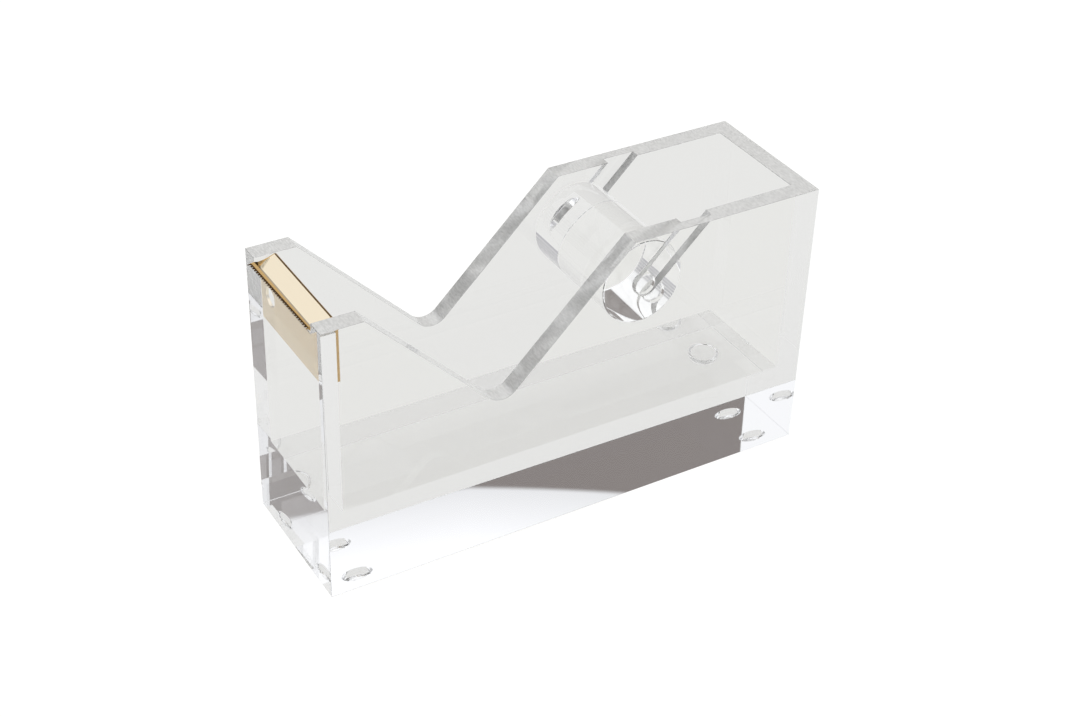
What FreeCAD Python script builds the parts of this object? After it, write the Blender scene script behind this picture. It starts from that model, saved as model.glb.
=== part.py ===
import FreeCAD, Part
import os
import Sketcher

# Clear acrylic desk tape dispenser. The cutter end is at -X, the tape hub is behind it,
# and the origin is on the desk under the middle of the whole object. Millimetres.

doc = FreeCAD.newDocument("tape_dispenser")

dims = {
    "length": 150.0,            # front face to back face
    "width": 45.0,              # outer face to outer face of the side panels
    "wall": 5.6,                # acrylic sheet
    "base_height": 25.0,        # thick block under the panels
    "panel_height": 59.0,       # side and back panels, above the block
    "front_height": 55.92,      # front panel stops under the crease of the cutter's cap
    "front_flat": 12.0,         # level stretch of the side panels at the front
    "valley_place": 51.2,       # sharp bottom of the V, from the front face
    "valley_bottom": 19.8,      # sharp bottom of the V, above the block
    "valley_radius": 5.5,
    "plateau_start": 90.4,
    "hub_place": 95.7,          # hub axis, from the front face
    "hub_height": 43.3,         # hub axis, above the block
    "hub_diameter": 24.8,       # takes a one inch tape core
    "hub_length": 33.0,
    "hub_edge": 0.3,
    "groove_angle": 45.0,       # pin grooves rise towards the back
    "groove_width": 6.8,
    "groove_depth": 2.5,
    "groove_run": 30.0,         # past the top of the panel
    "pin_diameter": 6.35,
    "pin_length": 10.6,
    "pin_edge": 0.3,
    "pin_seat": 8.2,            # depth of each blind bore in the hub
    "bore_diameter": 6.45,      # 0.05 mm of radial clearance on the pins
    "cutter_gap": 0.2,          # cutter to side panel, each side
    "metal": 0.8,               # cutter sheet
    "cap_top": 58.95,           # above the block
    "cap_knee": 5.5,            # where the cap starts to slope, behind the front face
    "crease_place": 1.0,        # valley between cap and lip, behind the front face
    "crease_height": 56.9,
    "under_crease": 0.79,       # the same valley on the underside, on the front panel's top
    "cap_root": 58.12,          # underside of the cap where it meets the flap
    "lip_top": 58.05,
    "lip_under": 0.36,          # where the lip's underside starts, ahead of the front face
    "tooth_reach": 1.9,         # tooth tips ahead of the front face
    "tooth_depth": 0.75,
    "tooth_count": 30.0,
    "flap_foot": 41.0,          # lower edge of the flap, above the block
    "flap_hole": 5.5,
    "flap_hole_side": 11.3,     # towards the left panel
    "flap_hole_height": 49.8,
    "bend_radius": 0.7,
    "foot_diameter": 9.0,
    "foot_height": 2.2,
    "foot_rounding": 1.6,
    "foot_inset": 10.0,         # foot centre from the ends and the sides
}

sheet = doc.addObject("Spreadsheet::Sheet", "Dimensions")
for row, (alias, size) in enumerate(dims.items(), start=1):
    sheet.set("A%d" % row, alias)
    sheet.set("B%d" % row, str(size))
    sheet.setAlias("B%d" % row, alias)
doc.recompute()


def signed_names(text):
    """Splits a sum such as "wall + metal - cutter_gap" into (sign, name) pairs."""
    sign = 1
    for word in text.split():
        if word in ("+", "-"):
            sign = 1 if word == "+" else -1
        else:
            yield sign, word
            sign = 1


def number(text):
    return sum(sign * dims[name] for sign, name in signed_names(text))


def cells(text):
    """The same sum as an expression on the sheet."""
    words = []
    for word in text.split():
        words.append(word if word in ("+", "-") else "Dimensions." + word)
    return " ".join(words)


FRONT = "-(Dimensions.length - Dimensions.tooth_reach) / 2"
BLOCK_TOP = "Dimensions.foot_height + Dimensions.base_height"
INNER = "(Dimensions.width / 2 - Dimensions.wall)"
HUB_X = FRONT + " + Dimensions.hub_place"
HUB_Z = BLOCK_TOP + " + Dimensions.hub_height"


def place(thing, x, y, z):
    thing.setExpression("Placement.Base.x", x)
    thing.setExpression("Placement.Base.y", y)
    thing.setExpression("Placement.Base.z", z)


def new_body(label, x, y, z):
    body = doc.addObject("PartDesign::Body", label)
    body.Label = label
    place(body, x, y, z)
    return body


def origin_part(body, role):
    return next(part for part in body.Origin.OriginFeatures if part.Role == role)


def new_sketch(body, plane, name):
    sketch = body.newObject("Sketcher::SketchObject", name)
    sketch.AttachmentSupport = [(origin_part(body, plane), "")]
    sketch.MapMode = "FlatFace"
    return sketch


def bind(sketch, index, formula):
    sketch.setExpression("Constraints[%d]" % index, formula)


def pin_down(sketch, line, across, up):
    """Holds the start of a line at (across, up) from the sketch's origin."""
    for kind, text, axis in (("DistanceX", across, -2), ("DistanceY", up, -1)):
        if not text:
            sketch.addConstraint(Sketcher.Constraint("PointOnObject", line, 1, axis))
            continue
        constraint = Sketcher.Constraint(kind, -1, 1, line, 1, number(text))
        bind(sketch, sketch.addConstraint(constraint), cells(text))


def outline(sketch, corners):
    """A closed outline through corners, each a pair of sums of sheet names."""
    spots = []
    for across, up in corners:
        spots.append(FreeCAD.Vector(number(across), number(up), 0))
    for spot, following in zip(spots, spots[1:] + spots[:1]):
        sketch.addGeometry(Part.LineSegment(spot, following))
    for line in range(len(spots)):
        ahead = (line + 1) % len(spots)
        sketch.addConstraint(Sketcher.Constraint("Coincident", line, 2, ahead, 1))
    for line, (across, up) in enumerate(corners):
        pin_down(sketch, line, across, up)


def circle(sketch, diameter, across="", up=""):
    middle = FreeCAD.Vector(number(across), number(up), 0)
    z_axis = FreeCAD.Vector(0, 0, 1)
    sketch.addGeometry(Part.Circle(middle, z_axis, number(diameter) / 2))
    constraint = Sketcher.Constraint("Diameter", 0, number(diameter))
    bind(sketch, sketch.addConstraint(constraint), cells(diameter))
    for kind, text, axis in (("DistanceX", across, -2), ("DistanceY", up, -1)):
        if not text:
            sketch.addConstraint(Sketcher.Constraint("PointOnObject", 0, 3, axis))
            continue
        constraint = Sketcher.Constraint(kind, -1, 1, 0, 3, number(text))
        bind(sketch, sketch.addConstraint(constraint), cells(text))


def pad(body, sketch, length, reverse=False):
    feature = body.newObject("PartDesign::Pad", sketch.Name + "_pad")
    feature.Profile = sketch
    feature.Reversed = reverse
    feature.setExpression("Length", cells(length))
    sketch.Visibility = False
    doc.recompute()
    return feature


def pocket(body, sketch, length, reverse=False):
    """A pocket that has to take something away."""
    before = body.Shape.Volume
    feature = body.newObject("PartDesign::Pocket", sketch.Name + "_pocket")
    feature.Profile = sketch
    feature.Reversed = reverse
    feature.setExpression("Length", cells(length))
    doc.recompute()
    if body.Shape.Volume > before - 0.01:
        raise RuntimeError(feature.Name + " cut nothing")
    return feature


def edges_where(shape, test):
    named = []
    for index, edge in enumerate(shape.Edges, start=1):
        if test(edge):
            named.append("Edge%d" % index)
    return named


def dress(body, kind, base, edges, size_name, size):
    """A Fillet or a Chamfer on the named edges."""
    feature = body.newObject("PartDesign::" + kind, body.Name + "_" + kind.lower())
    feature.Base = (base, edges)
    feature.setExpression(size_name, cells(size))
    doc.recompute()
    return feature


# ---- the box: block and four panels -------------------------------------------------


def sheet_box(label, sizes, x, y, z):
    box = doc.addObject("Part::Box", label)
    box.Label = label
    for name, formula in zip(("Length", "Width", "Height"), sizes):
        box.setExpression(name, formula)
    place(box, x, y, z)
    return box


def side_panel(label, side):
    """One profiled panel with its blind pin groove in the inner face. side: +1 left, -1 right."""
    body = new_body(label, FRONT, "%d * %s" % (side, INNER), BLOCK_TOP)
    profile = new_sketch(body, "XZ_Plane", label + "_profile")
    outline(profile, [
        ("", ""),
        ("length", ""),
        ("length", "panel_height"),
        ("plateau_start", "panel_height"),
        ("valley_place", "valley_bottom"),
        ("front_flat", "panel_height"),
        ("", "panel_height"),
    ])
    slab = pad(body, profile, "wall", reverse=side > 0)

    def in_valley(edge):
        middle = edge.CenterOfMass
        return (abs(middle.x - dims["valley_place"]) < 0.1
                and abs(middle.z - dims["valley_bottom"]) < 0.1)

    dress(body, "Fillet", slab, edges_where(slab.Shape, in_valley), "Radius", "valley_radius")

    # the groove's closed end is round about the hub's axis, its mouth is in the top edge
    groove = new_sketch(body, "XZ_Plane", label + "_groove")
    groove.setExpression("AttachmentOffset.Base.x", cells("hub_place"))
    groove.setExpression("AttachmentOffset.Base.y", cells("hub_height"))
    groove.setExpression("AttachmentOffset.Rotation.Angle", cells("groove_angle"))
    half = dims["groove_width"] / 2
    run = dims["groove_run"]
    centre = FreeCAD.Vector(0, 0, 0)
    quarter = 1.5707963267948966
    round_end = Part.Circle(centre, FreeCAD.Vector(0, 0, 1), half)
    spots = [FreeCAD.Vector(0, -half, 0), FreeCAD.Vector(run, -half, 0)]
    spots += [FreeCAD.Vector(run, half, 0), FreeCAD.Vector(0, half, 0)]
    for spot, following in zip(spots, spots[1:]):
        groove.addGeometry(Part.LineSegment(spot, following))
    groove.addGeometry(Part.ArcOfCircle(round_end, quarter, 3 * quarter))
    for line in (0, 1):
        groove.addConstraint(Sketcher.Constraint("Coincident", line, 2, line + 1, 1))
    groove.addConstraint(Sketcher.Constraint("Tangent", 2, 2, 3, 1))
    groove.addConstraint(Sketcher.Constraint("Tangent", 3, 2, 0, 1))
    groove.addConstraint(Sketcher.Constraint("Coincident", 3, 3, -1, 1))
    groove.addConstraint(Sketcher.Constraint("Horizontal", 0))
    groove.addConstraint(Sketcher.Constraint("Horizontal", 2))
    groove.addConstraint(Sketcher.Constraint("Vertical", 1))
    width = groove.addConstraint(Sketcher.Constraint("DistanceY", 1, 1, 1, 2, 2 * half))
    bind(groove, width, cells("groove_width"))
    reach = groove.addConstraint(Sketcher.Constraint("DistanceX", -1, 1, 0, 2, run))
    bind(groove, reach, cells("groove_run"))
    pocket(body, groove, "groove_depth", reverse=side < 0)
    return body


def wall_box(label, x, height):
    """A panel between the side panels, standing on the block."""
    across = "2 * " + INNER
    return sheet_box(label, ("Dimensions.wall", across, cells(height)), x, "-" + INNER, BLOCK_TOP)


base_block = sheet_box(
    "base_block",
    ("Dimensions.length", "Dimensions.width", "Dimensions.base_height"),
    FRONT, "-Dimensions.width / 2", "Dimensions.foot_height")
left_side_panel = side_panel("left_side_panel", 1)
right_side_panel = side_panel("right_side_panel", -1)
front_panel = wall_box("front_panel", FRONT, "front_height")
back_panel = wall_box("back_panel", FRONT + " + Dimensions.length - Dimensions.wall", "panel_height")


# ---- the cutter ---------------------------------------------------------------------


def cutter_body():
    """One bent sheet: a flap behind the front panel, a cap that slopes down over it, and a
    toothed lip that stands up again in front."""
    body = new_body("cutter", FRONT, INNER + " - Dimensions.cutter_gap", BLOCK_TOP)
    body.Placement.Rotation = FreeCAD.Rotation()
    section = new_sketch(body, "XZ_Plane", "cutter_section")
    outline(section, [
        ("wall", "flap_foot"),
        ("wall + metal", "flap_foot"),
        ("wall + metal", "cap_top"),
        ("cap_knee", "cap_top"),
        ("crease_place", "crease_height"),
        ("", "lip_top"),
        ("- tooth_reach", "lip_top"),
        ("- tooth_reach", "lip_top - metal"),
        ("- lip_under", "lip_top - metal"),
        ("under_crease", "front_height"),
        ("wall", "cap_root"),
    ])
    plate = body.newObject("PartDesign::Pad", "cutter_pad")
    plate.Profile = section
    plate.setExpression("Length", "2 * (%s - Dimensions.cutter_gap)" % INNER)
    doc.recompute()

    def at_rear_bend(edge):
        middle = edge.CenterOfMass
        return (abs(middle.x - number("wall + metal")) < 0.01
                and abs(middle.z - dims["cap_top"]) < 0.01)

    dress(body, "Fillet", plate, edges_where(plate.Shape, at_rear_bend), "Radius", "bend_radius")

    hole = new_sketch(body, "YZ_Plane", "cutter_flap_hole")
    hole.setExpression("AttachmentOffset.Base.z", cells("wall + metal"))
    centre_y = "- flap_hole_side"
    circle(hole, "flap_hole", "", "flap_hole_height")
    hole.setExpression(
        "AttachmentOffset.Base.x",
        "%s - (%s - Dimensions.cutter_gap)" % ("Dimensions.flap_hole_side", INNER))
    pocket(body, hole, "metal")

    # one V gap, centred on the end of the lip, then repeated along it
    gap = new_sketch(body, "XY_Plane", "cutter_tooth_gap")
    pitch = "(2 * (%s - Dimensions.cutter_gap) / Dimensions.tooth_count)" % INNER
    pitch_mm = 2 * (dims["width"] / 2 - dims["wall"] - dims["cutter_gap"]) / dims["tooth_count"]
    tip = -dims["tooth_reach"]
    root = tip + dims["tooth_depth"]
    spots = [FreeCAD.Vector(root, 0, 0), FreeCAD.Vector(tip, pitch_mm / 2, 0)]
    spots += [FreeCAD.Vector(tip, -pitch_mm / 2, 0)]
    for spot, following in zip(spots, spots[1:] + spots[:1]):
        gap.addGeometry(Part.LineSegment(spot, following))
    for line in range(3):
        gap.addConstraint(Sketcher.Constraint("Coincident", line, 2, (line + 1) % 3, 1))
    gap.addConstraint(Sketcher.Constraint("PointOnObject", 0, 1, -1))
    gap.addConstraint(Sketcher.Constraint("Symmetric", 1, 1, 1, 2, -1))
    index = gap.addConstraint(Sketcher.Constraint("DistanceX", -1, 1, 0, 1, root))
    bind(gap, index, cells("- tooth_reach + tooth_depth"))
    index = gap.addConstraint(Sketcher.Constraint("DistanceX", -1, 1, 1, 1, tip))
    bind(gap, index, cells("- tooth_reach"))
    index = gap.addConstraint(Sketcher.Constraint("DistanceY", 1, 2, 1, 1, pitch_mm))
    bind(gap, index, pitch)
    first = body.newObject("PartDesign::Pocket", "cutter_first_gap")
    first.Profile = gap
    first.Reversed = True
    first.setExpression("Length", cells("cap_top"))
    doc.recompute()
    teeth = body.newObject("PartDesign::LinearPattern", "cutter_teeth")
    teeth.Originals = [first]
    teeth.Direction = (origin_part(body, "Y_Axis"), [""])
    teeth.Reversed = True
    teeth.setExpression("Length", "%s * Dimensions.tooth_count" % pitch)
    teeth.setExpression("Occurrences", "Dimensions.tooth_count + 1")
    body.Tip = teeth
    doc.recompute()
    return body


cutter = cutter_body()


# ---- the hub and its pins -----------------------------------------------------------


def rim_edges(shape, radius):
    """The circular edges of this radius."""
    def is_rim(edge):
        return isinstance(edge.Curve, Part.Circle) and abs(edge.Curve.Radius - radius) < 0.01
    return edges_where(shape, is_rim)


def round_bar(label, diameter, length, edge, y):
    """A bar along Y with chamfered ends. y: where its -Y end is."""
    body = new_body(label, HUB_X, y, HUB_Z)
    disc = new_sketch(body, "XZ_Plane", label + "_disc")
    circle(disc, diameter)
    bar = pad(body, disc, length, reverse=True)
    rims = rim_edges(bar.Shape, number(diameter) / 2)
    dress(body, "Chamfer", bar, rims, "Size", edge)
    return body


def hub_body():
    """A solid rod with a blind bore in each end for its pins."""
    body = round_bar("tape_hub", "hub_diameter", "hub_length", "hub_edge", "-Dimensions.hub_length / 2")
    for end, shift, reverse in (("right", "", False), ("left", "- hub_length", True)):
        bore = new_sketch(body, "XZ_Plane", end + "_bore")
        circle(bore, "bore_diameter")
        if shift:
            bore.setExpression("AttachmentOffset.Base.z", cells(shift))
        pocket(body, bore, "pin_seat", reverse=reverse)
    return body


tape_hub = hub_body()
pin_start = "Dimensions.hub_length / 2 - Dimensions.pin_seat + 0.2"
left_hub_pin = round_bar("left_hub_pin", "pin_diameter", "pin_length", "pin_edge", pin_start)
right_hub_pin = round_bar(
    "right_hub_pin", "pin_diameter", "pin_length", "pin_edge",
    "-(%s) - Dimensions.pin_length" % pin_start)


# ---- the feet -----------------------------------------------------------------------


def foot(label, end, side):
    """A soft clear bumper with a rounded lower edge. end: +1 rear, -1 front."""
    x = FRONT + " + Dimensions.foot_inset"
    if end > 0:
        x = FRONT + " + Dimensions.length - Dimensions.foot_inset"
    y = "%d * (Dimensions.width / 2 - Dimensions.foot_inset)" % side
    body = new_body(label, x, y, "0")
    disc = new_sketch(body, "XY_Plane", label + "_disc")
    circle(disc, "foot_diameter")
    puck = pad(body, disc, "foot_height")

    def lower_rim(edge):
        return isinstance(edge.Curve, Part.Circle) and edge.CenterOfMass.z < 0.01

    dress(body, "Fillet", puck, edges_where(puck.Shape, lower_rim), "Radius", "foot_rounding")
    return body


feet = []
for end, end_name in ((-1, "front"), (1, "rear")):
    for side, side_name in ((1, "left"), (-1, "right")):
        feet.append(foot("%s_%s_foot" % (end_name, side_name), end, side))


# ---- checks and export --------------------------------------------------------------

doc.recompute()
pieces = [base_block, left_side_panel, right_side_panel, front_panel, back_panel, cutter]
pieces += [tape_hub, left_hub_pin, right_hub_pin] + feet

for thing in doc.Objects:
    if "Invalid" in thing.State or "Error" in thing.State:
        raise RuntimeError(thing.Name + " failed to recompute")

whole = FreeCAD.BoundBox()
for piece in pieces:
    shape = piece.Shape
    if shape.isNull() or not shape.isValid() or len(shape.Solids) != 1:
        raise RuntimeError(piece.Label + " isn't one valid solid")
    whole.add(shape.BoundBox)
    print("%-18s %9.2f mm3" % (piece.Label, shape.Volume))
print("box", whole)

os.makedirs("parts", exist_ok=True)
for piece in pieces:
    piece.Shape.exportStep("parts/%s.step" % piece.Label)
print("wrote", len(pieces), "files")
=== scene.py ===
import math

import bmesh
import bpy
import numpy as np
from mathutils import Matrix, Vector


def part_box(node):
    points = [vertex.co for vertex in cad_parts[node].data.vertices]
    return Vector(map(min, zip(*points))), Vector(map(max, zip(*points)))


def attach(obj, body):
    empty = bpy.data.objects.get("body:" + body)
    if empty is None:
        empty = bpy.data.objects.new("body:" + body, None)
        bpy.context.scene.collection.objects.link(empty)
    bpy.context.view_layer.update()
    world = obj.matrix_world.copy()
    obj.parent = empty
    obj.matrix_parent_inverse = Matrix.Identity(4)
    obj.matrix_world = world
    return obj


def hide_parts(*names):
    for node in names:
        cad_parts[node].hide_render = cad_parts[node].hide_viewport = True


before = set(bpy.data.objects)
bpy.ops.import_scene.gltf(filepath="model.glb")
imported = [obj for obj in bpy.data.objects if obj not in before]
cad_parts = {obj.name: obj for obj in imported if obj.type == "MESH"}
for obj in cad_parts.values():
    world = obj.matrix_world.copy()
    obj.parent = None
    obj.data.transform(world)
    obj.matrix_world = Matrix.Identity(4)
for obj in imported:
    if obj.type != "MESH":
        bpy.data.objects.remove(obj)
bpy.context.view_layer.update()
print("frame loaded:", len(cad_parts), "nodes")

scene = bpy.context.scene
mm = 0.001


def nodeBox(name):
    low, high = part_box(name)
    return np.array(low), np.array(high)


def linearColour(code):
    # each sRGB channel below 0.04045 is divided by 12.92, the rest follow the 2.4 power curve
    channels = np.array([int(code[i:i + 2], 16) for i in (1, 3, 5)]) / 255
    low = channels / 12.92
    high = ((channels + 0.055) / 1.055) ** 2.4
    return (*np.where(channels <= 0.04045, low, high), 1.0)


def addNode(tree, kind, settings=None, links=None):
    # settings set either a node property or an input; links feed inputs from other sockets
    node = tree.nodes.new(kind)
    for name, value in (settings or {}).items():
        if isinstance(name, int) or name in node.inputs:
            node.inputs[name].default_value = value
        else:
            setattr(node, name, value)
    for name, socket in (links or {}).items():
        tree.links.new(socket, node.inputs[name])
    return node


def newMaterial(name):
    material = bpy.data.materials.new(name)
    material.use_nodes = True
    material.node_tree.nodes.clear()
    return material, material.node_tree


def finishMaterial(tree, shader):
    addNode(tree, "ShaderNodeOutputMaterial", links={"Surface": shader})


acrylicLook = {
    "ior": 1.49,
    "tint": "#FFFFFE",
    # a polished face: mm across a patch of handling haze, the roughness of its clean and hazy
    # patches, and the share of light that goes straight through
    "face": {"patch": 2.5, "clean": 0.0, "hazy": 0.01, "clear": 1.0},
    # a cut edge keeps the saw's fine marks, this many mm apart and high, drawn out across the
    # sheet, and scatters half of the light
    "edge": {"patch": 0.5, "clean": 0.12, "hazy": 0.22, "clear": 0.5, "ripple": 0.35,
             "height": 0.006, "stretch": 4.0, "marks": ("#E6E6E5", "#FEFEFD")},
    "hazeFrom": (0.4, 0.7),      # the part of the noise's range that goes from clean to hazy
    "marksFrom": (0.35, 0.65),   # and the part that goes from a dark mark to a bright one
}


def castAcrylic(name, look):
    # clear sheet: what is behind a polished face shows sharp, apart from the faintest patchy haze;
    # a cut edge is satin, so it reads as pale grey with fine marks across it
    material, tree = newMaterial(name)
    place = addNode(tree, "ShaderNodeTexCoord").outputs["Object"]
    patches = addNode(tree, "ShaderNodeTexNoise",
                      {"Scale": 1 / (look["patch"] * mm), "Detail": 3.0}, {"Vector": place})
    start, stop = acrylicLook["hazeFrom"]
    roughness = addNode(tree, "ShaderNodeMapRange",
                        {"From Min": start, "From Max": stop,
                         "To Min": look["clean"], "To Max": look["hazy"]},
                        {"Value": patches.outputs["Fac"]})
    shader = addNode(tree, "ShaderNodeBsdfPrincipled",
                     {"Base Color": linearColour(acrylicLook["tint"]), "IOR": acrylicLook["ior"],
                      "Transmission Weight": look["clear"]},
                     {"Roughness": roughness.outputs["Result"]})
    if "ripple" in look:
        drawn = addNode(tree, "ShaderNodeMapping", {"Scale": (1, 1 / look["stretch"], 1)},
                        {"Vector": place})
        ripples = addNode(tree, "ShaderNodeTexNoise",
                          {"Scale": 1 / (look["ripple"] * mm), "Detail": 2.0},
                          {"Vector": drawn.outputs["Vector"]})
        bump = addNode(tree, "ShaderNodeBump", {"Strength": 1.0, "Distance": look["height"] * mm},
                       {"Height": ripples.outputs["Fac"]})
        start, stop = acrylicLook["marksFrom"]
        spread = addNode(tree, "ShaderNodeMapRange", {"From Min": start, "From Max": stop},
                         {"Value": ripples.outputs["Fac"]})
        # sockets 6 and 7 of a colour mix are its two colours, and 0 is the share of the second
        marks = addNode(tree, "ShaderNodeMix",
                        {"data_type": "RGBA", 6: linearColour(look["marks"][0]),
                         7: linearColour(look["marks"][1])}, {0: spread.outputs["Result"]})
        tree.links.new(bump.outputs["Normal"], shader.inputs["Normal"])
        tree.links.new(marks.outputs[2], shader.inputs["Base Color"])
    finishMaterial(tree, shader.outputs["BSDF"])
    return material


def solventWeld():
    # two acrylic faces dissolved into each other: light goes straight on, so nothing shows
    material, tree = newMaterial("solvent-welded joint")
    finishMaterial(tree, addNode(tree, "ShaderNodeBsdfTransparent").outputs["BSDF"])
    return material


polishedAcrylic = castAcrylic("cast acrylic, polished face", acrylicLook["face"])
buffedEdge = castAcrylic("cast acrylic, sawn and buffed edge", acrylicLook["edge"])
weld = solventWeld()


siliconeLook = {
    "ior": 1.41,
    "colour": "#FFFFFF",
    "cloud": 0.8,            # mm across a cloudy patch
    "glossy": 0.04,
    "dull": 0.14,
}


def softSilicone():
    # clear moulded bumper: softer gloss than acrylic, a little cloudy
    look = siliconeLook
    material, tree = newMaterial("clear silicone rubber")
    place = addNode(tree, "ShaderNodeTexCoord").outputs["Object"]
    cloud = addNode(tree, "ShaderNodeTexNoise",
                    {"Scale": 1 / (look["cloud"] * mm), "Detail": 3.0}, {"Vector": place})
    roughness = addNode(tree, "ShaderNodeMapRange",
                        {"To Min": look["glossy"], "To Max": look["dull"]},
                        {"Value": cloud.outputs["Fac"]})
    shader = addNode(tree, "ShaderNodeBsdfPrincipled",
                     {"Base Color": linearColour(look["colour"]), "IOR": look["ior"],
                      "Transmission Weight": 1.0},
                     {"Roughness": roughness.outputs["Result"]})
    finishMaterial(tree, shader.outputs["BSDF"])
    return material


goldLook = {
    "cap": "#F7E9CD",
    # painted shade: the flap is drawn as a duller copy of the cap's plating
    "flap": "#DCC79F",
    "fold": "#C8A66E",       # painted shade: a darker copy of the plating on the rear bend, the lip's ledge and the cap's far end
    "crease": "#4E3B1C",     # painted shade: the rise from the crease up to the lip is drawn dark
    "teeth": "#4A3314",      # painted shade: the teeth and their edges are drawn dark brown
    "lineWidth": 0.12,       # mm from one drawing line to the next
    "lineLength": 9.0,       # and along one
    "lineDepth": 0.003,
    "lineStrength": 0.35,
    "smear": 3.0,            # mm across a finger smear
    "smearFrom": (0.3, 0.7),    # the part of the noise's range that goes from clean to smeared
    "clean": 0.12,
    "smeared": 0.2,
}


def goldPlatedSteel(zone):
    # pale gold over polished steel: a soft mirror with fine drawing lines along the sheet and
    # finger smears; every zone but the cap gets a darker copy of the plating, painted shade
    look = goldLook
    material, tree = newMaterial("gold-plated steel, " + zone)
    place = addNode(tree, "ShaderNodeTexCoord").outputs["Object"]
    fine, long = 1 / (look["lineWidth"] * mm), 1 / (look["lineLength"] * mm)
    along = addNode(tree, "ShaderNodeMapping", {"Scale": (fine, long, fine)}, {"Vector": place})
    lines = addNode(tree, "ShaderNodeTexNoise", {"Scale": 1.0, "Detail": 2.0},
                    {"Vector": along.outputs["Vector"]})
    smears = addNode(tree, "ShaderNodeTexNoise", {"Scale": 1 / (look["smear"] * mm), "Detail": 3.0},
                     {"Vector": place})
    start, stop = look["smearFrom"]
    roughness = addNode(tree, "ShaderNodeMapRange",
                        {"From Min": start, "From Max": stop,
                         "To Min": look["clean"], "To Max": look["smeared"]},
                        {"Value": smears.outputs["Fac"]})
    bump = addNode(tree, "ShaderNodeBump",
                   {"Strength": look["lineStrength"], "Distance": look["lineDepth"] * mm},
                   {"Height": lines.outputs["Fac"]})
    shader = addNode(tree, "ShaderNodeBsdfPrincipled",
                     {"Metallic": 1.0, "Base Color": linearColour(look[zone])},
                     {"Roughness": roughness.outputs["Result"], "Normal": bump.outputs["Normal"]})
    finishMaterial(tree, shader.outputs["BSDF"])
    return material


siliconeRubber = softSilicone()
goldZones = ["cap", "flap", "fold", "crease", "teeth"]
platedGold = [goldPlatedSteel(zone) for zone in goldZones]
print("materials done")


plain, edge, welded = 0, 1, 2    # material places of every clear piece

meshRules = {
    "merge": 1e-7,           # metres: points nearer than this are one
    "smoothBelow": 12,       # degrees between two faces that shade as one
    "arrisAbove": 50,        # and between two that get a chamfer
    "arrisSteps": 2,
}


def faceList():
    # a mesh that is gathered face by face: each face brings its own corners, which makePiece merges
    points, faces, slots = [], [], []

    def face(corners, slot):
        faces.append(list(range(len(points), len(points) + len(corners))))
        points.extend(corners)
        slots.append(slot)

    return points, faces, slots, face


def makePiece(name, points, faces, slots, body, nodes, materials, arris=0.0):
    # arris: width in mm of the small polished chamfer along every sharp edge that isn't welded
    rules = meshRules
    mesh = bpy.data.meshes.new(name)
    mesh.from_pydata(np.asarray(points).tolist(), [], faces)
    mesh.polygons.foreach_set("material_index", np.array(slots, np.int32))
    for material in materials:
        mesh.materials.append(material)
    piece = bpy.data.objects.new(name, mesh)
    scene.collection.objects.link(piece)
    shell = bmesh.new()
    shell.from_mesh(mesh)
    bmesh.ops.remove_doubles(shell, verts=shell.verts, dist=rules["merge"])
    bmesh.ops.recalc_face_normals(shell, faces=shell.faces)
    weights = shell.edges.layers.float.new("bevel_weight_edge")
    for seam in shell.edges:
        joined = any(f.material_index == welded for f in seam.link_faces)
        angle = seam.calc_face_angle(0.0)
        seam.smooth = angle < math.radians(rules["smoothBelow"])
        seam[weights] = 0.0 if joined or angle < math.radians(rules["arrisAbove"]) else 1.0
    for f in shell.faces:
        f.smooth = True
    openEdges = sum(len(e.link_faces) != 2 for e in shell.edges)
    shell.to_mesh(mesh)
    shell.free()
    if arris:
        chamfer = piece.modifiers.new("arris", "BEVEL")
        chamfer.limit_method = "WEIGHT"
        chamfer.width = arris * mm
        chamfer.segments = rules["arrisSteps"]
        chamfer.harden_normals = True
    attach(piece, body)
    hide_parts(*nodes)
    print("made", name, len(mesh.polygons), "faces, open edges", openEdges)
    return piece


def turnedPiece(name, profile, centre, steps, body, node, materials, slots, axis="y"):
    # profile rows are (radius, distance along the axis); each is carried round the axis in equal
    # steps: point = centre + radius * (cos, sin) across the axis + distance along it
    profile = np.array(profile)
    turn = np.linspace(0, 2 * np.pi, steps, endpoint=False)
    ringA = np.cos(turn)[:, None] * profile[:, 0]
    ringB = np.sin(turn)[:, None] * profile[:, 0]
    along = np.broadcast_to(profile[:, 1], ringA.shape)
    stack = {"y": (ringA, along, ringB), "z": (ringA, ringB, along)}[axis]
    points = np.stack(stack, -1).reshape(-1, 3) + centre
    count = len(profile)
    row, column = np.meshgrid(np.arange(steps), np.arange(count - 1), indexing="ij")
    here = row * count + column
    there = (row + 1) % steps * count + column
    faces = np.stack((here, here + 1, there + 1, there), -1).reshape(-1, 4).tolist()
    faceSlots = np.broadcast_to(np.array(slots), (steps, count - 1)).reshape(-1)
    return makePiece(name, points, faces, faceSlots, body, [node], materials)


blockLow, blockHigh = nodeBox("base_block")
leftLow, leftHigh = nodeBox("left_side_panel")
rightLow, rightHigh = nodeBox("right_side_panel")
frontHigh = nodeBox("front_panel")[1]
backLow = nodeBox("back_panel")[0]
hubLow, hubHigh = nodeBox("tape_hub")
hubCentre = (hubLow + hubHigh) / 2
acrylicSet = [polishedAcrylic, buffedEdge, weld]

blockShape = {
    "arris": 0.15,
    "footSides": 48,
    "footMargin": 1.0,       # from a foot's circle to the grid lines round it
}


def footPlace(name):
    low, high = nodeBox(name)
    return (low + high) / 2, (high[0] - low[0]) / 2


footNames = ["front_left_foot", "front_right_foot", "rear_left_foot", "rear_right_foot"]


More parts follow.
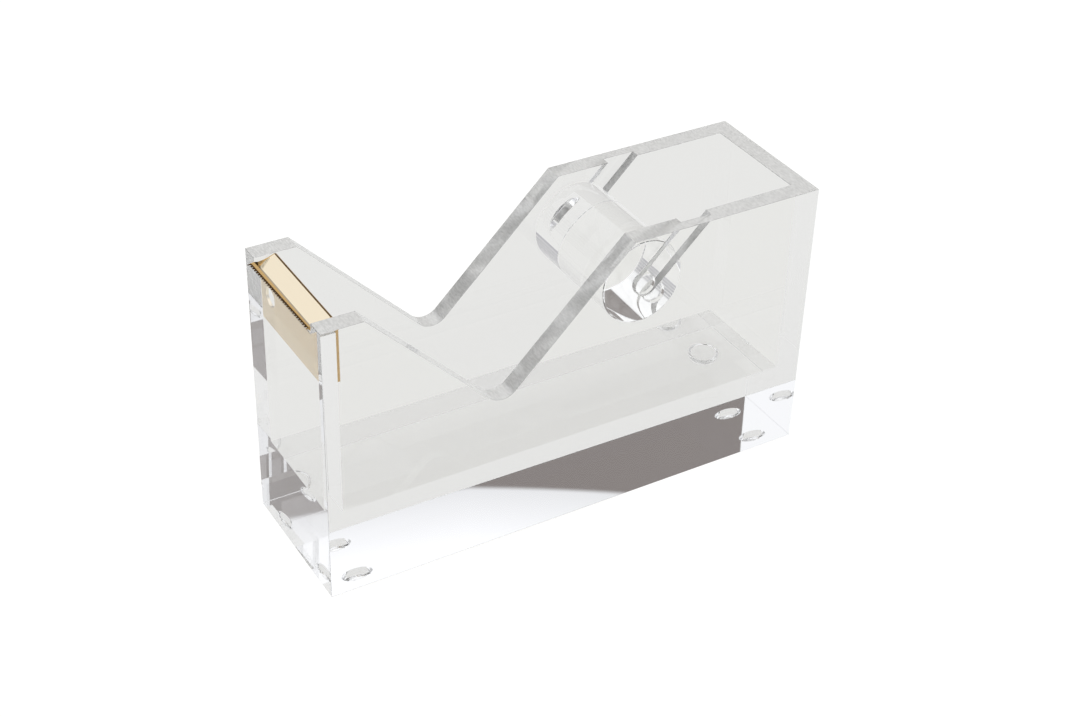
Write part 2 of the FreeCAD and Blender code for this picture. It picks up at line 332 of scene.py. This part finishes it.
def acrylicBlock():
    # a box whose top is cut along the panels' feet and whose underside is cut round the bumpers:
    # every cell of a grid of lines is one face, except that a bumper's cell is a ring of triangles
    # from the circle to the cell's corners, with the circle itself as one more face
    x0, y0, z0 = blockLow
    x1, y1, z1 = blockHigh
    points, faces, slots, face = faceList()
    topX = [x0, frontHigh[0], backLow[0], x1]
    topY = [y0, rightHigh[1], leftLow[1], y1]
    for i in range(3):
        for j in range(3):
            corners = [(topX[i], topY[j], z1), (topX[i + 1], topY[j], z1),
                       (topX[i + 1], topY[j + 1], z1), (topX[i], topY[j + 1], z1)]
            face(corners, plain if i == j == 1 else welded)

    # the feet stand in two rows and two columns, whose places are rounded to a micrometre
    feet = [footPlace(name) for name in footNames]
    radius = feet[0][1]
    half = radius + blockShape["footMargin"] * mm
    footX = sorted({round(float(centre[0]), 6) for centre, _ in feet})
    footY = sorted({round(float(centre[1]), 6) for centre, _ in feet})
    lineX = [x0, footX[0] - half, footX[0] + half, footX[1] - half, footX[1] + half, x1]
    lineY = [y0, footY[0] - half, footY[0] + half, footY[1] - half, footY[1] + half, y1]
    steps = blockShape["footSides"]
    turn = np.linspace(0, 2 * np.pi, steps, endpoint=False)
    for i in range(5):
        for j in range(5):
            cell = [(lineX[i], lineY[j], z0), (lineX[i + 1], lineY[j], z0),
                    (lineX[i + 1], lineY[j + 1], z0), (lineX[i], lineY[j + 1], z0)]
            if i % 2 == 0 or j % 2 == 0:
                face(cell, plain)
                continue
            middle = ((lineX[i] + lineX[i + 1]) / 2, (lineY[j] + lineY[j + 1]) / 2)
            ring = [(middle[0] + radius * math.cos(a), middle[1] + radius * math.sin(a), z0)
                    for a in turn]
            face(ring, welded)
            # corner 2 of the cell is up and right, so it serves the first quarter of the circle
            corners = [cell[2], cell[3], cell[0], cell[1]]
            quarter = steps // 4
            for k in range(steps):
                face([ring[k], ring[(k + 1) % steps], corners[k // quarter]], plain)
            for q in range(4):
                face([corners[q], ring[(q + 1) * quarter % steps], corners[(q + 1) % 4]], plain)

    # the four sides, with every point of the top's and the underside's lines on their edges
    def wall(low, high):
        face(low + high[::-1], plain)

    wall([(x, y0, z0) for x in lineX], [(x, y0, z1) for x in topX])
    wall([(x, y1, z0) for x in lineX], [(x, y1, z1) for x in topX])
    wall([(x0, y, z0) for y in lineY], [(x0, y, z1) for y in topY])
    wall([(x1, y, z0) for y in lineY], [(x1, y, z1) for y in topY])
    return makePiece("acrylicBlock", points, faces, slots, "dispenser", ["base_block"],
                     acrylicSet, blockShape["arris"])


panelShape = {
    "frontFlat": 12.0,
    "valleyPlace": 51.2,
    "valleyDrop": 39.2,
    "valleyRadius": 5.5,
    "valleySteps": 14,
    "plateauStart": 90.4,
    "grooveWidth": 6.8,
    "grooveDepth": 2.5,
    "grooveSteps": 20,
    "arris": 0.15,
}


def arc(centre, radius, start, stop, steps):
    # points at equal angles on a circle, angles in degrees
    turn = np.radians(np.linspace(start, stop, steps + 1))
    return list(np.array(centre) + radius * np.stack((np.cos(turn), np.sin(turn)), -1))


def sidePanel(name, node, outer, inner):
    # the outline is straight runs with an arc in the valley; it is carried across the sheet, and
    # the pin groove, a slot with a round end, is sunk into the inner face
    s = panelShape
    x0, x1 = leftLow[0], leftHigh[0]
    z0, z1 = leftLow[2], leftHigh[2]
    apex = np.array([x0 + s["valleyPlace"] * mm, z1 - s["valleyDrop"] * mm])
    bend = s["valleyRadius"] * mm
    valley = arc(apex + (0, bend * math.sqrt(2)), bend, 315, 225, s["valleySteps"])
    half = s["grooveWidth"] / 2 * mm
    hub = np.array([hubCentre[0], hubCentre[2]])
    mouth = hub[0] + z1 - hub[1]
    rearLip = (mouth + half * math.sqrt(2), z1)
    frontLip = (mouth - half * math.sqrt(2), z1)
    groove = [rearLip] + arc(hub, half, -45, -225, s["grooveSteps"]) + [frontLip]
    frontWall, backWall = frontHigh[0], backLow[0]
    frontTop = frontHigh[2]
    # anticlockwise from the lower front corner, in (x, z)
    lower = [(x0, z0), (frontWall, z0), (backWall, z0), (x1, z0), (x1, z1), (backWall, z1)]
    upper = [(x0 + s["plateauStart"] * mm, z1)] + valley
    upper += [(x0 + s["frontFlat"] * mm, z1), (x0, z1), (x0, frontTop)]
    outline = lower + [rearLip, frontLip] + upper
    floor = inner + (outer - inner) / abs(outer - inner) * s["grooveDepth"] * mm
    points, faces, slots, face = faceList()

    def at(flat, y):
        return [(p[0], y, p[1]) for p in flat]

    face(at(outline, outer), plain)
    # the inner face in three parts: the two strips that the end panels are welded to, and the rest
    corner = (frontWall, frontTop)
    rest = [(frontWall, z0), (backWall, z0), (backWall, z1)] + groove + upper + [corner]
    face(at(rest, inner), plain)
    face(at([(x0, z0), (frontWall, z0), corner, (x0, frontTop)], inner), welded)
    face(at([(backWall, z0), (x1, z0), (x1, z1), (backWall, z1)], inner), welded)
    face(at(groove, floor), plain)
    for p, q in zip(outline, outline[1:] + outline[:1]):
        onFoot = p[1] == z0 and q[1] == z0
        atMouth = p is rearLip and q is frontLip
        reach = floor if atMouth else inner
        upright = p[0] == q[0]
        slot = welded if onFoot else plain if upright else edge
        face(at([p, q], outer) + at([q, p], reach), slot)
    for p, q in zip(groove, groove[1:]):
        face(at([p, q], floor) + at([q, p], inner), edge)
    return makePiece(name, points, faces, slots, "dispenser", [node],
                     acrylicSet, s["arris"])


def wallPanel(name, node):
    # a flat sheet between the side panels: its two ends and its foot are welded
    low, high = nodeBox(node)
    points = [(x, y, z) for x in (low[0], high[0]) for y in (low[1], high[1])
              for z in (low[2], high[2])]
    faces = [(0, 1, 3, 2), (4, 6, 7, 5), (0, 4, 5, 1), (2, 3, 7, 6), (0, 2, 6, 4), (1, 5, 7, 3)]
    slots = [plain, plain, welded, welded, welded, edge]
    return makePiece(name, points, faces, slots, "dispenser", [node],
                     acrylicSet, panelShape["arris"])


acrylicBlock()
sidePanel("leftSidePanel", "left_side_panel", leftHigh[1], leftLow[1])
sidePanel("rightSidePanel", "right_side_panel", rightLow[1], rightHigh[1])
wallPanel("frontPanel", "front_panel")
wallPanel("backPanel", "back_panel")
print("acrylic box done")


hubShape = {"edge": 0.35, "boreDiameter": 6.45, "boreDepth": 8.2, "boreLip": 0.15, "sides": 128}
pinShape = {"edge": 0.3, "sides": 48}
rimMiddle = 0.3    # a rounded rim's middle lies this far in from both faces, in parts of the rim


def tapeHub():
    # a rod of constant radius with rounded-off rims and a blind bore in each end
    s = hubShape
    radius = (hubHigh[2] - hubLow[2]) / 2
    half = (hubHigh[1] - hubLow[1]) / 2
    rim, bore, seat = s["edge"] * mm, s["boreDiameter"] / 2 * mm, half - s["boreDepth"] * mm
    lip, inset = s["boreLip"] * mm, rim * rimMiddle
    end = [(0, seat), (bore, seat), (bore, half - lip), (bore + lip, half),
           (radius - rim, half), (radius - inset, half - inset), (radius, half - rim)]
    profile = end + [(r, -y) for r, y in end[::-1]]
    # the bores are filled by the pins, so their walls pass light straight on
    slots = [welded] * 2 + [plain] * (len(profile) - 5) + [welded] * 2
    return turnedPiece("tapeHub", profile, hubCentre, s["sides"], "hub", "tape_hub",
                       acrylicSet, slots)


def hubPin(name, node):
    # the same kind of rod, whose inner part sits in the hub's bore
    low, high = nodeBox(node)
    side = 1 if low[1] > 0 else -1
    centre = (low + high) / 2
    radius, half = (high[2] - low[2]) / 2, (high[1] - low[1]) / 2
    rim = pinShape["edge"] * mm
    inset = rim * rimMiddle
    end = [(0, half), (radius - rim, half), (radius - inset, half - inset), (radius, half - rim)]
    face = hubHigh[1] - abs(centre[1])
    profile = end + [(radius, face)] + [(r, -y) for r, y in end[::-1]]
    profile = [(r, y * side) for r, y in profile]
    slots = [plain] * 4 + [welded] * 4
    return turnedPiece(name, profile, centre, pinShape["sides"], "hub_pins", node,
                       acrylicSet, slots)


tapeHub()
hubPin("leftHubPin", "left_hub_pin")
hubPin("rightHubPin", "right_hub_pin")
print("hub done")


footShape = {"rounding": 1.6, "steps": 10}


def bumper(name, node):
    # a puck with a quarter-round lower rim, stuck to the block by its whole top
    low, high = nodeBox(node)
    centre = np.array([(low[0] + high[0]) / 2, (low[1] + high[1]) / 2, 0])
    radius, top, bend = (high[0] - low[0]) / 2, high[2], footShape["rounding"] * mm
    lower = arc((radius - bend, bend), bend, -90, 0, footShape["steps"])
    profile = [(0, 0)] + [tuple(p) for p in lower] + [(radius, top), (0, top)]
    slots = [plain] * (len(profile) - 2) + [welded]
    return turnedPiece(name, profile, centre, blockShape["footSides"], "dispenser", node,
                       [siliconeRubber, siliconeRubber, weld], slots, "z")


for node in footNames:
    end, side, _ = node.split("_")
    bumper(end + side.capitalize() + "Foot", node)
print("feet done")


cutterShape = {
    "glueGap": 0.02,         # clear double-sided tape between the flap and the front panel
    "metal": 0.8,            # thickness of the sheet
    "rearBend": 0.7,         # outer radius of the fold between flap and cap
    "bendSteps": 8,
    "knee": 0.9,             # the cap's slope starts this far ahead of the flap's rear face
    "crease": (2.9, 2.05),   # valley between cap and lip: back from the tips, and below the top
    "underCrease": 2.69,     # the same valley underneath, back from the tips
    "capSteps": 8,
    "arch": 0.85,            # how far the cap's left end stands up at the crease
    "lip": (1.85, 0.95),     # top of the lip's rise, measured the same way
    "lipFall": 0.3,          # from there to the tips
    "lipUnder": 1.54,        # where the lip's underside starts, back from the tips
    "rootDrop": 0.83,        # the cap's underside at the flap, below the top
    "teeth": 30,
    "toothDepth": 0.75,
    "toothEdge": 0.2,        # the lip is ground thin towards its teeth
    "tipInset": (0.8, 0.3),  # the row of tips runs a little askew: right end, left end
    "samples": 4,            # points for each tooth
    "holeRadius": 2.75,
    "holePlace": (11.3, 77.0),    # left of the middle, and above the desk
    "holeSides": 64,
    "punchDepth": 4.0,
    "smoothBelow": 24,       # degrees between two faces that shade as one
}


def punchHole(piece, flapBack):
    # a round punch goes through the flap along X, and what it takes away is cut from the mesh
    s = cutterShape
    punch = bpy.data.meshes.new("punch")
    tool = bmesh.new()
    y, z = (side * mm for side in s["holePlace"])
    lie = Matrix.Translation((flapBack, y, z)) @ Matrix.Rotation(math.pi / 2, 4, "Y")
    radius = s["holeRadius"] * mm
    bmesh.ops.create_cone(tool, cap_ends=True, segments=s["holeSides"], radius1=radius,
                          radius2=radius, depth=s["punchDepth"] * mm, matrix=lie)
    tool.to_mesh(punch)
    tool.free()
    puncher = bpy.data.objects.new("punch", punch)
    scene.collection.objects.link(puncher)
    cut = piece.modifiers.new("punched hole", "BOOLEAN")
    cut.object, cut.operation, cut.solver = puncher, "DIFFERENCE", "EXACT"
    bpy.context.view_layer.update()
    graph = bpy.context.evaluated_depsgraph_get()
    punched = bpy.data.meshes.new_from_object(piece.evaluated_get(graph))
    piece.modifiers.remove(cut)
    piece.data = punched
    bpy.data.objects.remove(puncher)
    bpy.data.meshes.remove(punch)
    shell = bmesh.new()
    shell.from_mesh(punched)
    for seam in shell.edges:
        seam.smooth = seam.calc_face_angle(0.0) < math.radians(s["smoothBelow"])
    for f in shell.faces:
        f.smooth = True
    shell.to_mesh(punched)
    shell.free()


def cutter():
    # a folded sheet: the section is a flap, a rear bend, a cap that falls evenly to a crease, and
    # a lip that rises ahead of it and then falls a little. It is carried along Y. The lip's end
    # draws back by a triangle wave of Y, which makes the teeth, and over the last step of Y the
    # cap's left end stands up by arch * run squared, run being 0 at the knee and 1 at the crease
    s = cutterShape
    low, high = nodeBox("cutter")
    bend, top = s["rearBend"] * mm, high[2]
    flapFront, flapBack = frontHigh[0] + s["glueGap"] * mm, high[0]
    turn = np.radians(np.linspace(0, 90, s["bendSteps"] + 1))
    bendOut = np.stack((flapBack - bend + bend * np.cos(turn), top - bend + bend * np.sin(turn)), -1)
    knee = flapBack - s["knee"] * mm
    crease = np.array((low[0] + s["crease"][0] * mm, top - s["crease"][1] * mm))
    run = np.linspace(0, 1, s["capSteps"] + 1)[:, None]
    capOut = (1 - run) * (knee, top) + run * crease
    lip = (low[0] + s["lip"][0] * mm, top - s["lip"][1] * mm)
    depth, fall = s["toothDepth"] * mm, s["lipFall"] / s["lip"][0]
    tip = np.array((low[0], lip[1] - s["lipFall"] * mm))
    front = [lip, tip + (depth, depth * fall), tip, tip - (0, s["toothEdge"] * mm)]
    under = [(low[0] + s["lipUnder"] * mm, lip[1] - s["metal"] * mm),
             (low[0] + s["underCrease"] * mm, frontHigh[2] + s["glueGap"] * mm),
             (flapFront, top - s["rootDrop"] * mm), (flapFront, low[2])]
    section = np.concatenate(([(flapBack, low[2])], bendOut, capOut, front, under))
    size, count = len(section), s["teeth"] * s["samples"] + 1
    t = np.linspace(0, 1, count)
    points = np.empty((count, size, 3))
    points[:, :, 0] = section[:, 0]
    points[:, :, 1] = (low[1] + (high[1] - low[1]) * t)[:, None]
    points[:, :, 2] = section[:, 1]
    capRow = 1 + len(bendOut)
    lipRow = capRow + len(capOut)
    wave = np.abs(2 * (t * s["teeth"] % 1) - 1)
    inset = s["tipInset"][0] * (1 - t) + s["tipInset"][1] * t
    inset[-1] = 0    # the end tooth stands out a little
    points[:, lipRow + 1, 0] += inset * mm
    points[:, lipRow + 2:lipRow + 4, 0] += ((inset + s["toothDepth"] * (1 - wave)) * mm)[:, None]
    points[-1, capRow:lipRow, 2] += s["arch"] * mm * run[:, 0] ** 2
    i, j = np.meshgrid(np.arange(count - 1), np.arange(size), indexing="ij")
    here, there = i * size + j, i * size + (j + 1) % size
    faces = np.stack((here, there, there + size, here + size), -1).reshape(-1, 4).tolist()
    faces += [list(range(size)), list(range((count - 1) * size, count * size))[::-1]]
    # the cap keeps the plating's colour; flap, fold, dark and teeth are darker copies of it, painted
    # shade
    cap, flap, fold, dark, teeth = range(len(goldZones))
    # the rear bend and the flat ahead of the knee get the fold's painted shade
    zones = [flap] + [fold] * (s["bendSteps"] + 1) + [cap] * s["capSteps"]
    # dark is the rise from the crease to the lip, fold the lip's ledge and teeth the teeth, all
    # three in painted shade
    zones += [dark, fold] + [teeth] * 2 + [cap] * 3 + [flap] * 2
    slots = np.tile(zones, (count - 1, 1))
    # the cap's arched far end over the last step gets the fold's painted shade
    slots[-1, capRow:lipRow - 1] = fold
    slots = slots.reshape(-1).tolist() + [fold, fold]
    piece = makePiece("goldCutter", points.reshape(-1, 3), faces, slots, "dispenser",
                      ["cutter"], platedGold)
    punchHole(piece, flapBack)


cutter()
print("cutter done")


floorLook = {
    "reach": 3.0,            # metres from the middle to each side
    "drop": 0.02,            # mm below the feet
    "seen": 0.97,            # its glow where it is seen straight
    "glow": 0.705,           # and as everything else sees it
    "glowColour": "#FFFFFE",
    "colour": "#626262",
    "grain": 2.5,            # mm
    "glossy": 0.75,
    "dull": 0.85,
}


def paleFloor():
    # laminate that glows a little, so it stays pale under the whole object
    look = floorLook
    material, tree = newMaterial("pale matt laminate")
    place = addNode(tree, "ShaderNodeTexCoord").outputs["Object"]
    grain = addNode(tree, "ShaderNodeTexNoise",
                    {"Scale": 1 / (look["grain"] * mm), "Detail": 2.0}, {"Vector": place})
    roughness = addNode(tree, "ShaderNodeMapRange",
                        {"To Min": look["glossy"], "To Max": look["dull"]},
                        {"Value": grain.outputs["Fac"]})
    path = addNode(tree, "ShaderNodeLightPath")
    glow = addNode(tree, "ShaderNodeMapRange", {"To Min": look["glow"], "To Max": look["seen"]},
                   {"Value": path.outputs["Is Camera Ray"]})
    shader = addNode(tree, "ShaderNodeBsdfPrincipled",
                     {"Base Color": linearColour(look["colour"]), "Specular IOR Level": 0.0,
                      "Emission Color": linearColour(look["glowColour"])},
                     {"Roughness": roughness.outputs["Result"],
                      "Emission Strength": glow.outputs["Result"]})
    finishMaterial(tree, shader.outputs["BSDF"])
    mesh = bpy.data.meshes.new("floor")
    reach = look["reach"]
    corners = [(-reach, -reach, 0), (reach, -reach, 0), (reach, reach, 0), (-reach, reach, 0)]
    mesh.from_pydata(corners, [], [(0, 1, 2, 3)])
    mesh.materials.append(material)
    floor = bpy.data.objects.new("floor", mesh)
    floor.location.z = -look["drop"] * mm
    scene.collection.objects.link(floor)


studioLook = {
    "clothColour": "#FAFBFF",
    "clothStrength": 1.1,
    "dimStrength": 0.84,       # the cloth's strength at the top of the wall
    "dimReach": 0.022,         # and how far above it, as the sine of height, that wears off
    "wallColour": "#79716F",
    "wallTop": 38.6,           # degrees above the horizon where the dark wall ends
    "wallSoft": 0.0012,        # half the blur of that edge, as the sine of height
    "wallFrom": 20,            # headings in degrees, from +X towards +Y, that the wall covers
    "wallTo": 71,
    "sideSoft": 0.03,          # blur of its two sides, in radians
    "climb": 0.0105,           # how much its top climbs between two headings
    "climbFrom": 61,
    "climbTo": 68,
    "shelfColour": "#ABABB1",  # what stands round the table below the cloth
    "shelfEdgeColour": "#F2F2F4",
    "shelfEdge": (0.7, 0.76),  # where each shelf turns to its pale edge, in parts of its height
    "shelves": 12,
    "shelfTop": 27,
    "shelfSoft": 0.03,
    "roomColour": "#FFFFFE",
    "roomStrength": 0.8,
    "mirroredFrom": 0.5,       # light that fewer faces than this have mirrored sees the room
}


def studioWorld():
    # a white cove that light passes straight through to, and, for what the faces mirror, a dark
    # wall on one side with a bright ceiling of diffusion cloth above it and grey shelves low down
    s = studioLook
    world = bpy.data.worlds.new("studio")
    world.use_nodes = True
    tree = world.node_tree
    tree.nodes.clear()
    toward = addNode(tree, "ShaderNodeTexCoord").outputs["Generated"]
    split = addNode(tree, "ShaderNodeSeparateXYZ", links={"Vector": toward})
    height = split.outputs["Z"]    # the sine of the angle above the horizon
    heading = addNode(tree, "ShaderNodeMath", {"operation": "ARCTAN2"},
                      {0: split.outputs["Y"], 1: split.outputs["X"]}).outputs[0]

    def ramp(value, start, stop):
        return addNode(tree, "ShaderNodeMapRange",
                       {"interpolation_type": "SMOOTHSTEP", "From Min": start, "From Max": stop},
                       {"Value": value}).outputs["Result"]

    def larger(one, other):
        return addNode(tree, "ShaderNodeMath", {"operation": "MAXIMUM"},
                       {0: one, 1: other}).outputs[0]

    top = math.sin(math.radians(s["wallTop"]))
    first, last = math.radians(s["wallFrom"]), math.radians(s["wallTo"])
    climb = addNode(tree, "ShaderNodeMapRange",
                    {"From Min": math.radians(s["climbFrom"]),
                     "From Max": math.radians(s["climbTo"]), "To Max": -s["climb"]},
                    {"Value": heading})
    level = addNode(tree, "ShaderNodeMath", {"operation": "ADD"},
                    {0: height, 1: climb.outputs["Result"]}).outputs[0]
    aboveWall = ramp(level, top - s["wallSoft"], top + s["wallSoft"])
    rightOfWall = ramp(heading, first, first - s["sideSoft"])
    leftOfWall = ramp(heading, last, last + s["sideSoft"])
    clear = larger(larger(rightOfWall, leftOfWall), aboveWall)

    glow = addNode(tree, "ShaderNodeMapRange",
                   {"From Min": top, "From Max": top + s["dimReach"],
                    "To Min": s["dimStrength"], "To Max": s["clothStrength"]}, {"Value": level})
    cloth = addNode(tree, "ShaderNodeBackground", {"Color": linearColour(s["clothColour"])},
                    {"Strength": larger(glow.outputs["Result"], leftOfWall)})

    # a shelf every so often in height, with the fraction of the count telling the place on it
    shelf = addNode(tree, "ShaderNodeMath", {"operation": "MULTIPLY", 1: s["shelves"]},
                    {0: height})
    part = addNode(tree, "ShaderNodeMath", {"operation": "FRACT"}, {0: shelf.outputs[0]})
    shelfMix = addNode(tree, "ShaderNodeMix",
                       {"data_type": "RGBA", 6: linearColour(s["shelfColour"]),
                        7: linearColour(s["shelfEdgeColour"])},
                       {0: ramp(part.outputs[0], *s["shelfEdge"])})
    low = addNode(tree, "ShaderNodeBackground", links={"Color": shelfMix.outputs[2]})
    lowTop = math.sin(math.radians(s["shelfTop"]))
    aboveShelves = ramp(height, lowTop - s["shelfSoft"], lowTop + s["shelfSoft"])
    bright = addNode(tree, "ShaderNodeMixShader",
                     links={0: aboveShelves, 1: low.outputs[0], 2: cloth.outputs[0]})
    wall = addNode(tree, "ShaderNodeBackground", {"Color": linearColour(s["wallColour"])})
    mirrored = addNode(tree, "ShaderNodeMixShader",
                       links={0: clear, 1: wall.outputs[0], 2: bright.outputs[0]})

    path = addNode(tree, "ShaderNodeLightPath")
    room = addNode(tree, "ShaderNodeBackground",
                   {"Color": linearColour(s["roomColour"]), "Strength": s["roomStrength"]})
    white = addNode(tree, "ShaderNodeBackground", {"Color": (1, 1, 1, 1), "Strength": 1.0})
    straight = addNode(tree, "ShaderNodeMath", {"operation": "LESS_THAN", 1: s["mirroredFrom"]},
                       {0: path.outputs["Glossy Depth"]})
    passed = addNode(tree, "ShaderNodeMixShader",
                     links={0: straight.outputs[0], 1: mirrored.outputs[0], 2: room.outputs[0]})
    seen = addNode(tree, "ShaderNodeMixShader",
                   links={0: path.outputs["Is Camera Ray"], 1: passed.outputs[0],
                          2: white.outputs[0]})
    addNode(tree, "ShaderNodeOutputWorld", links={"Surface": seen.outputs[0]})
    scene.world = world


cameraPlace = {
    "azimuth": -31.495,      # degrees, as are the next two
    "elevation": 34.779,
    "roll": 1.852,
    "distance": 0.565275,    # metres from the aim
    "aim": (0.01115, 0.014963, 0.028245),
    "lens": 65.10,           # mm, as is the sensor
    "sensor": 36,
    "clip": (0.01, 20),
}


def studioCamera():
    # back points from the aim to the camera; right and up are turned by the roll about it
    turns = [cameraPlace[name] for name in ("azimuth", "elevation", "roll")]
    azimuth, elevation, roll = map(math.radians, turns)
    back = Vector((math.sin(azimuth) * math.cos(elevation),
                   -math.cos(azimuth) * math.cos(elevation), math.sin(elevation)))
    right = Vector((math.cos(azimuth), math.sin(azimuth), 0))
    up = back.cross(right)
    turnedRight = right * math.cos(roll) + up * math.sin(roll)
    turnedUp = up * math.cos(roll) - right * math.sin(roll)
    turn = Matrix((turnedRight, turnedUp, back)).transposed().to_4x4()
    data = bpy.data.cameras.new("camera")
    data.lens = cameraPlace["lens"]
    data.sensor_width = cameraPlace["sensor"]
    data.clip_start, data.clip_end = cameraPlace["clip"]
    camera = bpy.data.objects.new("camera", data)
    eye = Vector(cameraPlace["aim"]) + back * cameraPlace["distance"]
    camera.matrix_world = Matrix.Translation(eye) @ turn
    scene.collection.objects.link(camera)
    scene.camera = camera


paleFloor()
studioWorld()
studioCamera()
scene.view_settings.view_transform = "Standard"
# light crosses and mirrors in many clear faces before it comes out
scene.cycles.max_bounces = 32
scene.cycles.transmission_bounces = 32
scene.cycles.glossy_bounces = 24
scene.cycles.transparent_max_bounces = 48
print("stage done")
